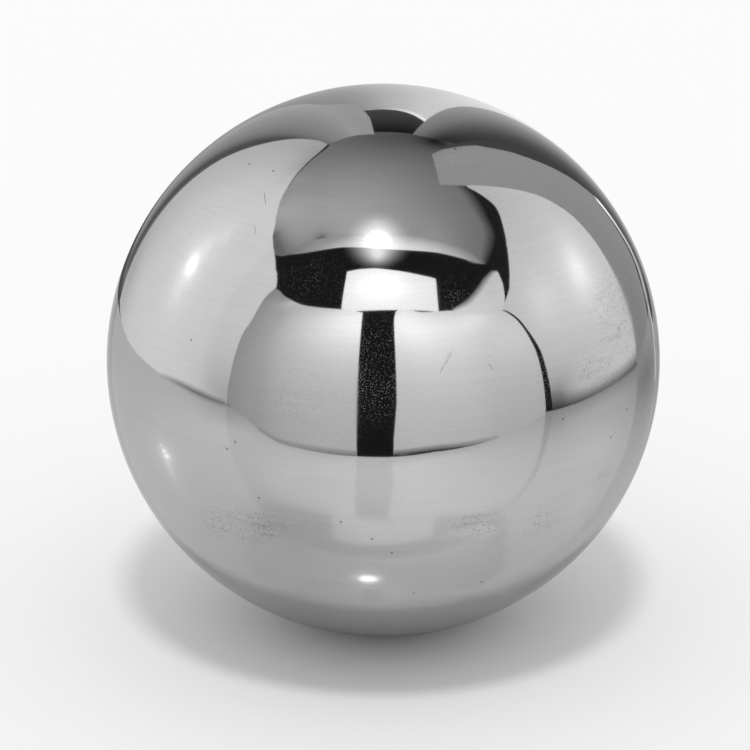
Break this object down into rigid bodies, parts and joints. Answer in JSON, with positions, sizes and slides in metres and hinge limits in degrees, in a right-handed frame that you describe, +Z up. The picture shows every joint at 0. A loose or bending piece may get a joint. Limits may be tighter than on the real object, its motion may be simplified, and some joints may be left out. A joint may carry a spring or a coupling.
{
  "type": "steel ball",
  "caption": "Solid steel ball: a true sphere, mirror polished all over, with no seam, flat or hole. It rolls freely, or sits in a cup, ring or socket.",
  "frame": {"origin": "centre of the ball", "axes": "+Z up, away from what the ball lies on; the ball is the same about every axis through its centre"},
  "size_m": [0.05, 0.05, 0.05],
  "materials": {
    "polished_steel": "polished"
  },
  "bodies": {
    "root": {"ball": "polished_steel"}
  },
  "joints": []
}
